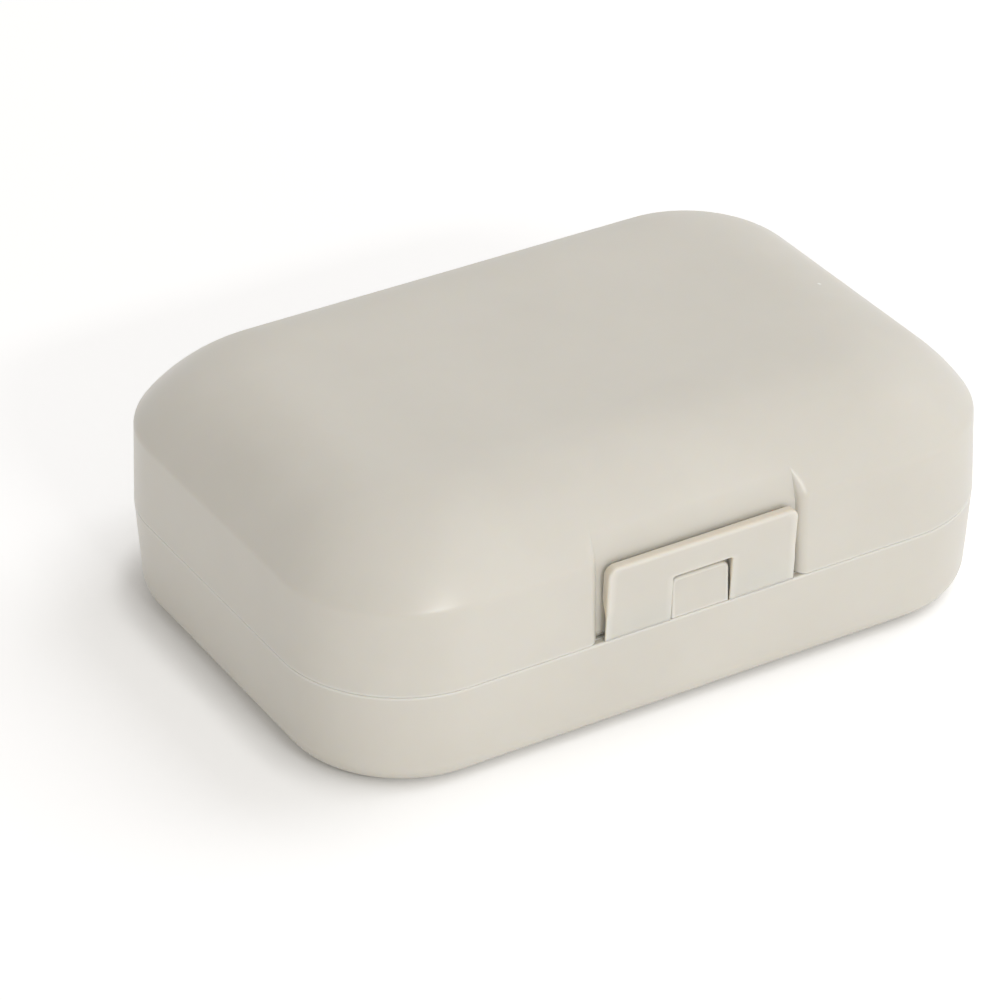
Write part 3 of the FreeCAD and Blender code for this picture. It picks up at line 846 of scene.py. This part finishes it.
@dataclass
class HingeStation:
    """One back hinge: a lid knuckle between two base knuckles on a pin."""

    box: BoxSizes
    hand: Hand
    middle: float = 28.0
    axis_y: float = 40.7
    radius: float = 2.2
    bore: float = 0.82
    leaf: float = 3.1
    lid_half: float = 4.0
    base_from: float = 4.2
    base_to: float = 10.2
    edge: float = 0.3
    leaf_from: float = 0.1
    end_wear_and_sheen: float = 0.5
    leaf_steps: int = 5
    arc_steps: int = 34
    edge_steps: int = 6

    def outline(self, inset: Array, flip: float) -> tuple[Array, Array]:
        """The knuckle's section: a flat leaf that runs into three quarters of a circle about the axis.

        Args:
            inset: How far each outline is drawn in.
            flip: 1 with the leaf below the axis, -1 with the leaf above it.

        Returns:
            Out from the axis and up from it, each shaped outlines, points.
        """
        radius = self.radius - inset[:, None]
        share = np.linspace(0, 1, self.leaf_steps, endpoint=False)
        arc = np.linspace(-QUARTER, 2 * QUARTER, self.arc_steps)
        back = np.linspace(self.leaf_from, 1, self.leaf_steps)
        out = [-self.leaf * (1 - share) + 0 * radius, radius * np.cos(arc),
               -radius - (self.leaf - radius) * back]
        up = [-radius + 0 * share, radius * np.sin(arc), 0 * radius + 0 * back]
        return np.concatenate(out, axis=1), flip * np.concatenate(up, axis=1)

    def knuckle(self, name: str, start: float, end: float, flip: float) -> bpy.types.Object:
        """Carry the section along the axis with round ends, and back through the bore.

        The bore's points are the section's own points brought in to the bore's radius.

        Args:
            name: Name of the piece.
            start: Where the knuckle begins along the length.
            end: Where it ends.
            flip: Side of the leaf, as for the outline.

        Returns:
            The knuckle.
        """
        turn = np.linspace(0, QUARTER, self.edge_steps)
        inset = self.edge * (1 - np.sin(turn))
        along = self.edge * (1 - np.cos(turn))
        place = np.concatenate([start + along, end - along[::-1]])
        out, up = self.outline(np.concatenate([inset, inset[::-1]]), flip)
        angle = np.arctan2(up[:1], out[:1])
        bore_out, bore_up = self.bore * np.cos(angle), self.bore * np.sin(angle)
        out = np.concatenate([out, bore_out, bore_out])
        up = np.concatenate([up, bore_up, bore_up])
        place = np.concatenate([place, [end, start]])[:, None] + 0 * out
        grid = np.stack([place, self.axis_y + out, self.box.rim + up], axis=-1)
        # the round ends are half marked as rubbed; the material paints them paler, partly a painted highlight
        wear_and_sheen = np.concatenate([np.full(2 * len(turn), self.end_wear_and_sheen), [0.0, 0.0]])
        return grid_piece(name, grid, Ends.JOINED, {Mark.EDGE: wear_and_sheen})

    def build(self) -> dict[str, bpy.types.Object]:
        """Make the station's three knuckles.

        Returns:
            The knuckles by their place on the pin.
        """
        name, side = self.hand.name.lower(), self.hand.value
        centre = side * self.middle
        spans = {
            "lid": (-self.lid_half, self.lid_half, -1.0),
            "outer": (side * self.base_from, side * self.base_to, 1.0),
            "inner": (-side * self.base_from, -side * self.base_to, 1.0),
        }
        return {
            place: self.knuckle(f"knuckle_{name}_{place}", centre + min(ends), centre + max(ends), flip)
            for place, (*ends, flip) in spans.items()
        }

    def dress(self, knuckles: dict[str, bpy.types.Object], shell: bpy.types.Material,
              steel: bpy.types.Material) -> None:
        """Put the knuckles on their shells and give the CAD pin its steel.

        Args:
            knuckles: The station's knuckles.
            shell: Material of the shells.
            steel: Material of the pin.
        """
        for place, piece in knuckles.items():
            settle(piece, Body.LID if place == "lid" else Body.BASE, shell)
        finish_node(f"hinge_pin_{self.hand.name.lower()}", Slot.PIN, steel)


def finish_node(node: str, slot: Slot, material: bpy.types.Material) -> None:
    """Give a CAD node that stays its material, and report it.

    Args:
        node: Name of the node.
        slot: The record's slot that it takes its finish from.
        material: What it is made of.
    """
    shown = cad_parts[node]
    shown.data.materials.clear()
    shown.data.materials.append(material)
    log.info("%s keeps its CAD shape and has the finish of %s", node, slot.value)


class Nodes:
    """A node tree that is filled step by step."""

    def __init__(self, tree: bpy.types.NodeTree) -> None:
        """Start on a tree."""
        self.tree = tree

    def add(self, kind: str, links: dict | None = None, **settings: object) -> bpy.types.Node:
        """Add a node.

        Args:
            kind: Node type.
            links: Values or sockets for its inputs, by name or number.
            settings: Properties of the node.

        Returns:
            The new node.
        """
        node = self.tree.nodes.new(kind)
        for name, value in settings.items():
            setattr(node, name, value)
        for name, value in (links or {}).items():
            if isinstance(value, bpy.types.NodeSocket):
                self.tree.links.new(value, node.inputs[name])
            else:
                node.inputs[name].default_value = value
        return node

    def math(self, operation: str, first: object, second: object = 0.0, third: object = 0.0) -> object:
        """The result of a Math node."""
        links = {0: first, 1: second, 2: third}
        return self.add("ShaderNodeMath", links, operation=operation).outputs[0]

    def range(self, value: object, low: float, high: float, start: float = 0.0, end: float = 1.0) -> object:
        """A value carried from one range to another, cut off at the ends."""
        links = {"Value": value, "From Min": low, "From Max": high, "To Min": start, "To Max": end}
        return self.add("ShaderNodeMapRange", links).outputs["Result"]

    def mix(self, share: object, first: object, second: object) -> object:
        """A colour between two colours."""
        links = {0: share, 6: first, 7: second}
        return self.add("ShaderNodeMix", links, data_type="RGBA").outputs[2]

    def place(self) -> object:
        """The surface's own place, in its object's coordinates."""
        return self.add("ShaderNodeTexCoord").outputs["Object"]

    def mark(self, mark: Mark) -> object:
        """A value that the mesh carries, 0 where it carries none."""
        return self.add("ShaderNodeAttribute", attribute_name=mark.value).outputs["Fac"]

    def bump(self, height: object, strength: float, depth: float) -> object:
        """A normal bent by a height."""
        links = {"Strength": strength, "Distance": depth, "Height": height}
        return self.add("ShaderNodeBump", links).outputs[0]

    def surface(self, inputs: dict) -> None:
        """Add a Principled shader with the given inputs, and join it to a material output."""
        shader = self.add("ShaderNodeBsdfPrincipled", inputs)
        output = self.add("ShaderNodeOutputMaterial")
        self.tree.links.new(shader.outputs[0], output.inputs["Surface"])


def new_material(name: str) -> tuple[bpy.types.Material, Nodes]:
    """A new material with no nodes yet.

    Args:
        name: Name of the material.

    Returns:
        The material and its nodes.
    """
    material = bpy.data.materials.new(name)
    material.use_nodes = True
    material.node_tree.nodes.clear()
    return material, Nodes(material.node_tree)


@dataclass
class Effects:
    """Surface effects that several finishes share, each a node group that is built once."""

    tone_range: tuple[float, float] = (0.3, 0.7)
    speck_least: float = 0.5
    scuff_turn: tuple[float, float, float] = (0.3, 0.2, 0.5)
    scuff_pitch: tuple[float, float, float] = (60.0, 1500.0, 1500.0)
    scuff_range: tuple[float, float] = (0.66, 0.74)
    patch_pitch: float = 70.0
    patch_range: tuple[float, float] = (0.5, 0.65)
    grain: bpy.types.NodeTree = field(init=False)
    marks: bpy.types.NodeTree = field(init=False)

    def __post_init__(self) -> None:
        """Build the groups."""
        self.grain = self._moulded_grain()
        self.marks = self._handling_marks()

    @staticmethod
    def _group(name: str, inputs: dict[str, float], outputs: tuple[str, ...]) -> tuple[Nodes, object, object]:
        """An empty group with a vector input, named float inputs and float outputs.

        Args:
            name: Name of the group.
            inputs: Float inputs with their defaults.
            outputs: Names of the outputs.

        Returns:
            The group's nodes, its input node and its output node.
        """
        tree = bpy.data.node_groups.new(name, "ShaderNodeTree")
        tree.interface.new_socket("Vector", in_out="INPUT", socket_type="NodeSocketVector")
        for label, value in inputs.items():
            socket = tree.interface.new_socket(label, in_out="INPUT", socket_type="NodeSocketFloat")
            socket.default_value = value
        for label in outputs:
            tree.interface.new_socket(label, in_out="OUTPUT", socket_type="NodeSocketFloat")
        nodes = Nodes(tree)
        return nodes, nodes.add("NodeGroupInput"), nodes.add("NodeGroupOutput")

    def _moulded_grain(self) -> bpy.types.NodeTree:
        """Fine spark-eroded texture of a mould, and the slow drift of tone across a moulding."""
        nodes, given, result = self._group(
            "moulded_grain", {"Grain Pitch": 2600.0, "Drift Pitch": 45.0}, ("Height", "Tone"))
        vector = given.outputs["Vector"]
        fine = nodes.add("ShaderNodeTexNoise", {
            "Vector": vector, "Scale": given.outputs["Grain Pitch"], "Detail": 3.0, "Roughness": 0.6})
        slow = nodes.add("ShaderNodeTexNoise", {
            "Vector": vector, "Scale": given.outputs["Drift Pitch"], "Detail": 4.0, "Roughness": 0.55})
        nodes.tree.links.new(fine.outputs[0], result.inputs["Height"])
        nodes.tree.links.new(nodes.range(slow.outputs[0], *self.tone_range), result.inputs["Tone"])
        return nodes.tree

    def _handling_marks(self) -> bpy.types.NodeTree:
        """A few pale nicks in the plastic, and faint hairline scuffs that run along the length."""
        nodes, given, result = self._group(
            "handling_marks", {"Speck Pitch": 95.0, "Speck Size": 0.024, "Speck Share": 0.16},
            ("Speck", "Scuff"))
        vector = given.outputs["Vector"]
        cells = nodes.add("ShaderNodeTexVoronoi", {"Vector": vector, "Scale": given.outputs["Speck Pitch"]})
        pick = nodes.add("ShaderNodeSeparateColor", {"Color": cells.outputs["Color"]})
        rare = nodes.math("LESS_THAN", pick.outputs[0], given.outputs["Speck Share"])
        spread = nodes.math("ADD", pick.outputs[1], self.speck_least)
        size = nodes.math("MULTIPLY", given.outputs["Speck Size"], spread)
        near = nodes.math("LESS_THAN", cells.outputs["Distance"], size)
        nodes.tree.links.new(nodes.math("MULTIPLY", rare, near), result.inputs["Speck"])
        turned = nodes.add("ShaderNodeMapping", {
            "Vector": vector, "Rotation": self.scuff_turn, "Scale": self.scuff_pitch})
        streak = nodes.add("ShaderNodeTexNoise", {
            "Vector": turned.outputs[0], "Scale": 1.0, "Detail": 2.0, "Roughness": 0.5})
        patch = nodes.add("ShaderNodeTexNoise", {"Vector": vector, "Scale": self.patch_pitch, "Detail": 1.0})
        line = nodes.range(streak.outputs[0], *self.scuff_range)
        where = nodes.range(patch.outputs[0], *self.patch_range)
        nodes.tree.links.new(nodes.math("MULTIPLY", line, where), result.inputs["Scuff"])
        return nodes.tree


Colour = tuple[float, float, float, float]


@dataclass(frozen=True)
class MouldedPlastic:
    """Satin moulded plastic with fine grain, drifting tone, nicks, scuffs, pale rubbed edges that are partly
    a painted highlight, and a painted tan glow on thin edges for light through the plastic and shade in the
    gaps.

    Its roughness drifts with the tone, falls on rubbed edges and rises on scuffs and on the lid's flat top.
    """

    name: str
    pale: Colour
    deep: Colour
    # pale colour of rubbed edges: partly real use, partly a painted highlight along the rounded edges
    edge: Colour = (0.745, 0.72, 0.66, 1.0)
    speck: Colour = (0.86, 0.85, 0.81, 1.0)
    roughness: float = 0.32
    tone_drop: float = 0.02
    tone_rise: float = 0.03
    worn_drop: float = 0.015
    scuff_rise: float = 0.05
    crown_rise: float = 0.22
    bump: float = 0.1
    bump_depth: float = 0.00006
    ior: float = 1.58
    glow: float = 0.4
    glow_reach: tuple[float, float, float] = (1.0, 0.75, 0.45)
    glow_scale: float = 0.0013
    # tan colour of a painted glow: light through the thin plastic and shade in the gaps round the clasp
    warm: Colour = (0.64, 0.52, 0.34, 1.0)
    painted_warm_glow_share: float = 0.5

    def material(self, effects: Effects) -> bpy.types.Material:
        """Build the material.

        Args:
            effects: Shared effects.

        Returns:
            The material.
        """
        material, nodes = new_material(self.name)
        place = nodes.place()
        grain = nodes.add("ShaderNodeGroup", node_tree=effects.grain)
        marks = nodes.add("ShaderNodeGroup", node_tree=effects.marks)
        for group in (grain, marks):
            nodes.tree.links.new(place, group.inputs["Vector"])
        wear_and_sheen, thin, crown = (nodes.mark(mark) for mark in (Mark.EDGE, Mark.THIN, Mark.CROWN))
        tone = grain.outputs["Tone"]
        colour = nodes.mix(tone, self.deep, self.pale)
        # rubbed edges turn paler: partly real use, partly a painted highlight
        colour = nodes.mix(wear_and_sheen, colour, self.edge)
        # painted glow: the thin mark tints the clasp's sides tan, for light through the plastic and shade in
        # the gaps
        colour = nodes.mix(nodes.math("MULTIPLY", thin, self.painted_warm_glow_share), colour, self.warm)
        colour = nodes.mix(marks.outputs["Speck"], colour, self.speck)
        rough = nodes.range(tone, 0.0, 1.0, self.roughness - self.tone_drop, self.roughness + self.tone_rise)
        changes = ((wear_and_sheen, -self.worn_drop), (marks.outputs["Scuff"], self.scuff_rise),
                   (crown, self.crown_rise))
        for mask, change in changes:
            rough = nodes.math("MULTIPLY_ADD", mask, change, rough)
        nodes.surface({
            "Base Color": colour, "Roughness": rough, "IOR": self.ior,
            "Normal": nodes.bump(grain.outputs["Height"], self.bump, self.bump_depth),
            "Subsurface Weight": self.glow, "Subsurface Radius": self.glow_reach,
            "Subsurface Scale": self.glow_scale})
        return material


@dataclass(frozen=True)
class DrawnSteel:
    """Drawn steel wire with lines along its length."""

    name: str
    pale: Colour
    deep: Colour
    roughness: float = 0.3
    tone_rise: float = 0.12
    stretch: float = 0.03
    grain_pitch: float = 9000.0
    drift_pitch: float = 400.0
    bump: float = 0.3
    bump_depth: float = 0.00002

    def material(self, effects: Effects) -> bpy.types.Material:
        """Build the material.

        Args:
            effects: Shared effects.

        Returns:
            The material.
        """
        material, nodes = new_material(self.name)
        drawn = nodes.add("ShaderNodeMapping", {"Vector": nodes.place(), "Scale": (self.stretch, 1.0, 1.0)})
        grain = nodes.add("ShaderNodeGroup", node_tree=effects.grain, links={
            "Vector": drawn.outputs[0], "Grain Pitch": self.grain_pitch, "Drift Pitch": self.drift_pitch})
        tone = grain.outputs["Tone"]
        nodes.surface({
            "Base Color": nodes.mix(tone, self.deep, self.pale), "Metallic": 1.0,
            "Roughness": nodes.range(tone, 0.0, 1.0, self.roughness, self.roughness + self.tone_rise),
            "Normal": nodes.bump(grain.outputs["Height"], self.bump, self.bump_depth)})
        return material


@dataclass(frozen=True)
class SoftLamp:
    """A soft box, placed by its bearing from the front, its height and its distance from the object."""

    name: str
    bearing: float
    elevation: float
    distance: float
    width: float
    depth: float
    share: float
    colour: tuple[float, float, float] = (1.0, 1.0, 1.0)
    mirrored: bool = True

    def place(self, target: Vector) -> None:
        """Put the lamp up, facing the target. Its share is how much of a surface's own colour it adds.

        A lamp that isn't mirrored only fills, and leaves no bright image of itself in the satin finish.

        Args:
            target: What it lights, in metres.
        """
        bearing, elevation = math.radians(self.bearing), math.radians(self.elevation)
        away = Vector((math.sin(bearing) * math.cos(elevation), -math.cos(bearing) * math.cos(elevation),
                       math.sin(elevation)))
        light = bpy.data.lights.new(self.name, "AREA")
        light.shape = "RECTANGLE"
        light.size = self.width
        light.size_y = self.depth
        light.energy = self.share * (math.pi * self.distance) ** 2
        light.color = self.colour
        lamp = bpy.data.objects.new(self.name, light)
        lamp.location = target + away * self.distance
        lamp.rotation_euler = away.to_track_quat("Z", "Y").to_euler()
        lamp.visible_glossy = self.mirrored
        bpy.context.scene.collection.objects.link(lamp)


@dataclass
class Studio:
    """The pale floor, the soft light and the camera at the photograph's angle."""

    ambient: Colour = (0.502, 0.485, 0.463, 1.0)
    backdrop: Colour = (1.0, 1.0, 1.0, 1.0)
    floor_half: float = 4.0
    floor_depth: float = -0.0002
    floor_colour: Colour = (0.95, 0.95, 0.95, 1.0)
    floor_lift: float = 0.25
    # painted shadow: how far, towards which side and over what occlusion the floor's lift is taken away
    # beside the box
    painted_shadow_reach: float = 0.008
    painted_shadow_side: tuple[float, float, float] = (0.62, -0.45, 0.64)
    painted_shadow_range: tuple[float, float] = (0.35, 0.75)
    painted_shadow_samples: int = 8
    eye: tuple[float, float, float] = (-283.0, -455.82, 346.33)
    aim: tuple[float, float, float] = (-8.24, 1.31, 14.69)
    lens: float = 158.6
    clip: tuple[float, float] = (0.01, 100.0)
    lamps: tuple[SoftLamp, ...] = (
        SoftLamp("front", bearing=-12.0, elevation=10.0, distance=0.9, width=1.2, depth=0.3, share=0.20,
                 mirrored=False),
        SoftLamp("spark", bearing=-1.0, elevation=29.0, distance=0.9, width=0.26, depth=0.05, share=0.18),
        SoftLamp("right", bearing=92.0, elevation=53.0, distance=1.2, width=0.9, depth=0.8, share=0.36,
                 colour=(0.98, 1.0, 1.04), mirrored=False),
    )

    def seen(self, nodes: Nodes) -> object:
        """1 for camera, glossy and transmission rays, 0 for the rays that carry light."""
        path = nodes.add("ShaderNodeLightPath")
        both = nodes.math("MAXIMUM", path.outputs["Is Camera Ray"], path.outputs["Is Glossy Ray"])
        return nodes.math("MAXIMUM", both, path.outputs["Is Transmission Ray"])

    def build(self) -> None:
        """Set up the world, the floor, the lamps and the camera."""
        scene = bpy.context.scene
        scene.view_settings.view_transform = "Standard"
        world = bpy.data.worlds.new("studio")
        world.use_nodes = True
        scene.world = world
        nodes = Nodes(world.node_tree)
        surround = world.node_tree.nodes["Background"]
        colour = nodes.mix(self.seen(nodes), self.ambient, self.backdrop)
        world.node_tree.links.new(colour, surround.inputs["Color"])
        self.floor()
        for lamp in self.lamps:
            lamp.place(Vector(self.aim) * MM)
        self.camera()

    def floor(self) -> None:
        """Lay the pale floor, which keeps shadows and is lifted to white, except close by the box's shaded
        side, where an ambient occlusion mask takes the lift away: a painted shadow.
        """
        half, low = self.floor_half, self.floor_depth
        mesh = bpy.data.meshes.new("floor")
        mesh.from_pydata([(-half, -half, low), (half, -half, low), (half, half, low), (-half, half, low)],
                         [], [(0, 1, 2, 3)])
        material = bpy.data.materials.new("floor_paper")
        material.use_nodes = True
        nodes = Nodes(material.node_tree)
        shader = material.node_tree.nodes["Principled BSDF"]
        shader.inputs["Base Color"].default_value = self.floor_colour
        shader.inputs["Roughness"].default_value = 1.0
        shader.inputs["Specular IOR Level"].default_value = 0.0
        shader.inputs["Emission Color"].default_value = (1.0, 1.0, 1.0, 1.0)
        # painted shadow: ambient occlusion about a normal tilted towards the box takes away the lift beside
        # its shaded side
        side = nodes.add("ShaderNodeCombineXYZ", dict(enumerate(self.painted_shadow_side))).outputs[0]
        beside = nodes.add("ShaderNodeAmbientOcclusion", {"Distance": self.painted_shadow_reach, "Normal": side},
                           samples=self.painted_shadow_samples)
        clear = nodes.range(beside.outputs["AO"], *self.painted_shadow_range, 0.0, self.floor_lift)
        lift = nodes.math("MULTIPLY", self.seen(nodes), clear)
        material.node_tree.links.new(lift, shader.inputs["Emission Strength"])
        mesh.materials.append(material)
        floor = bpy.data.objects.new("floor", mesh)
        bpy.context.scene.collection.objects.link(floor)

    def camera(self) -> None:
        """Stand the camera where the photograph was taken from, looking at its middle."""
        eye, aim = Vector(self.eye) * MM, Vector(self.aim) * MM
        data = bpy.data.cameras.new("camera")
        data.lens = self.lens
        data.clip_start, data.clip_end = self.clip
        camera = bpy.data.objects.new("camera", data)
        camera.location = eye
        camera.rotation_euler = (eye - aim).to_track_quat("Z", "Y").to_euler()
        bpy.context.scene.collection.objects.link(camera)
        bpy.context.scene.camera = camera


def main() -> None:
    """Build the soap box's pieces in order, dress them and set up the studio."""
    logging.basicConfig(level=logging.INFO, format="%(name)s: %(message)s")
    effects = Effects()
    shell = MouldedPlastic("satin_shell", pale=(0.690, 0.663, 0.597, 1.0),
                           deep=(0.655, 0.628, 0.562, 1.0)).material(effects)
    tray = MouldedPlastic("satin_tray", pale=(0.69, 0.665, 0.60, 1.0), deep=(0.66, 0.635, 0.57, 1.0),
                          roughness=0.42).material(effects)
    steel = DrawnSteel("drawn_steel", pale=(0.62, 0.62, 0.63, 1.0),
                       deep=(0.50, 0.50, 0.51, 1.0)).material(effects)
    box = BoxSizes()
    plan = Plan(box)
    for part in (BaseShell(box, plan), LidShell(box, plan), CatchLug(box), FrontClasp(box)):
        part.dress(part.build(), shell)
    for hand in Hand:
        station = HingeStation(box, hand)
        station.dress(station.build(), shell, steel)
    finish_node("drain_tray", Slot.TRAY, tray)
    Studio().build()


if __name__ == "__main__":
    main()
